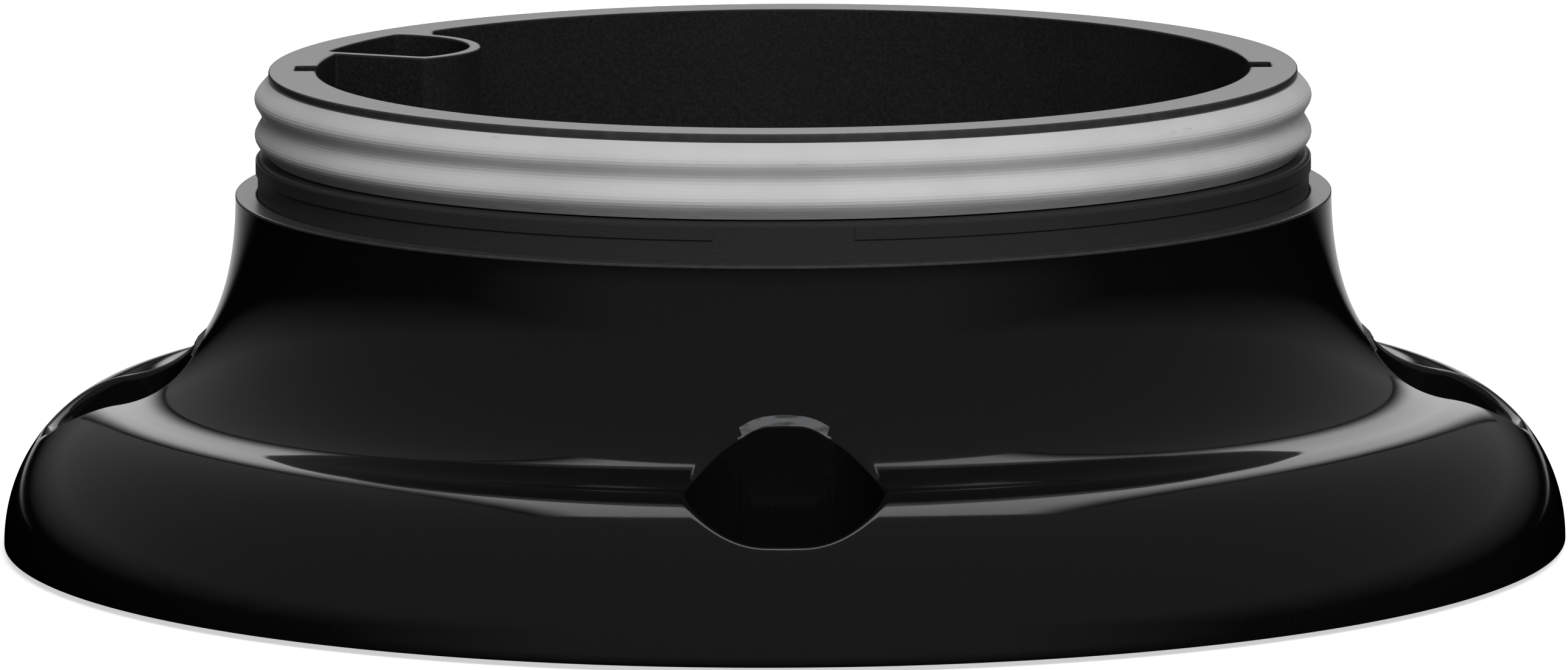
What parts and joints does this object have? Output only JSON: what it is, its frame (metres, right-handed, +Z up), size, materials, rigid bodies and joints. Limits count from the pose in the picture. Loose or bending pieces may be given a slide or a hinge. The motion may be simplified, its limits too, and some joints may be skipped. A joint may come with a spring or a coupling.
{
  "type": "kitchen garbage disposal base unit",
  "caption": "Low-profile kitchen garbage disposal base: flared gloss shroud, ribbed neck seal, open feed throat over a grinding turntable, interlock duct and underside drain.",
  "frame": {"origin": "on the surface that the rubber feet stand on, under the shaft's axis", "axes": "+Z up along the shaft, -Y towards the front, +X to the right seen from the front"},
  "size_m": [0.23, 0.23, 0.0704],
  "materials": {
    "shroud_black": "mirror-gloss black moulding",
    "collar_black": "fine spark-textured black moulding",
    "seal_grey": "smooth light grey silicone",
    "steel_sheet": "brushed stainless steel",
    "ring_cast": "cast, nickel-hardened",
    "deck_alloy": "die-cast, bead blasted",
    "gasket_rubber": "black rubber",
    "seal_brown": "brown fluoro rubber",
    "bearing_steel": "ground bearing steel",
    "cage_brass": "pressed brass",
    "lamination_steel": "stacked laminations",
    "copper_wire": "enamelled copper wire",
    "plate_black": "glass-filled black nylon",
    "foot_rubber": "soft black rubber",
    "screw_zinc": "zinc-plated steel",
    "switch_blue": "dark blue thermoset",
    "button_red": "red moulding",
    "rod_acetal": "natural acetal",
    "spring_steel": "drawn spring wire",
    "breaker_grey": "dark grey thermoset",
    "board_green": "solder-masked laminate",
    "capacitor_blue": "sleeved aluminium can",
    "chip_black": "black epoxy",
    "sink_alloy": "extruded aluminium",
    "terminal_cream": "cream polyamide",
    "gland_black": "black nylon",
    "lead_brown": "wire insulation",
    "lead_yellow": "wire insulation",
    "lead_blue": "wire insulation",
    "shaft_steel": "ground steel",
    "cup_steel": "deep-drawn steel",
    "magnet_grey": "sintered ferrite",
    "lug_steel": "investment-cast stainless steel"
  },
  "bodies": {
    "housing": {"flared_shroud": "shroud_black", "neck_collar": "collar_black", "ribbed_seal": "seal_grey", "feed_funnel": "steel_sheet", "grind_ring": "ring_cast", "deck_plate": "deck_alloy", "deck_gasket": "gasket_rubber", "deck_grommets": "gasket_rubber", "shaft_seal": "seal_brown", "bearing_outer_rings": "bearing_steel", "stator_core": "lamination_steel", "stator_windings": "copper_wire", "base_plate": "plate_black", "rubber_feet": "foot_rubber", "case_screws": "screw_zinc", "collar_screws": "screw_zinc", "pillar_screws": "screw_zinc", "drain_spigot": "plate_black", "drain_gasket": "gasket_rubber", "drain_screws": "screw_zinc", "interlock_switch": "switch_blue", "interlock_spring": "spring_steel", "reset_breaker": "breaker_grey", "reset_spring": "spring_steel", "control_board": "board_green", "board_capacitors": "capacitor_blue", "power_transistors": "chip_black", "heat_sink": "sink_alloy", "board_screws": "screw_zinc", "terminal_block": "terminal_cream", "cord_gland": "gland_black", "supply_leads": "lead_brown", "motor_leads": "lead_yellow", "switch_leads": "lead_blue"},
    "rotor": {"rotor_shaft": "shaft_steel", "rotor_cup": "cup_steel", "rotor_magnets": "magnet_grey", "turntable": "steel_sheet", "hub_washer": "steel_sheet", "hub_nut": "steel_sheet", "lug_pins": "steel_sheet", "bearing_inner_rings": "bearing_steel"},
    "ball_sets": {"bearing_balls": "bearing_steel", "bearing_cages": "cage_brass"},
    "lug_1": {"swivel_lug_1": "lug_steel"},
    "lug_2": {"swivel_lug_2": "lug_steel"},
    "interlock": {"interlock_rod": "rod_acetal"},
    "plunger": {"switch_plunger": "button_red"},
    "reset": {"reset_button": "button_red"}
  },
  "joints": [
    {"name": "shaft_spin", "type": "hinge", "parent": "housing", "child": "rotor", "pos_m": [0, 0, 0.02], "axis": [0, 0, 1], "continuous": true},
    {"name": "ball_orbit", "type": "hinge", "parent": "housing", "child": "ball_sets", "pos_m": [0, 0, 0.0166], "axis": [0, 0, 1], "continuous": true},
    {"name": "lug_1_swivel", "type": "hinge", "parent": "rotor", "child": "lug_1", "pos_m": [0.031, 0, 0.0334], "axis": [0, 0, 1], "continuous": true},
    {"name": "lug_2_swivel", "type": "hinge", "parent": "rotor", "child": "lug_2", "pos_m": [-0.031, 0, 0.0334], "axis": [0, 0, 1], "continuous": true},
    {"name": "interlock_press", "type": "slide", "parent": "housing", "child": "interlock", "axis": [0, 0, -1], "range_m": [0, 0.003], "stiffness_N_per_m": 500, "springref_m": -0.002, "deforming": ["interlock_spring"]},
    {"name": "plunger_press", "type": "slide", "parent": "housing", "child": "plunger", "axis": [0, 0, -1], "range_m": [0, 0.003]},
    {"name": "reset_press", "type": "slide", "parent": "housing", "child": "reset", "axis": [0, 0, 1], "range_m": [0, 0.0015], "stiffness_N_per_m": 600, "springref_m": -0.001, "deforming": ["reset_spring"]}
  ],
  "couplings": [
    {"joint": "ball_orbit", "follows": "shaft_spin", "ratio": 0.378},
    {"joint": "plunger_press", "follows": "interlock_press", "ratio": 1}
  ]
}
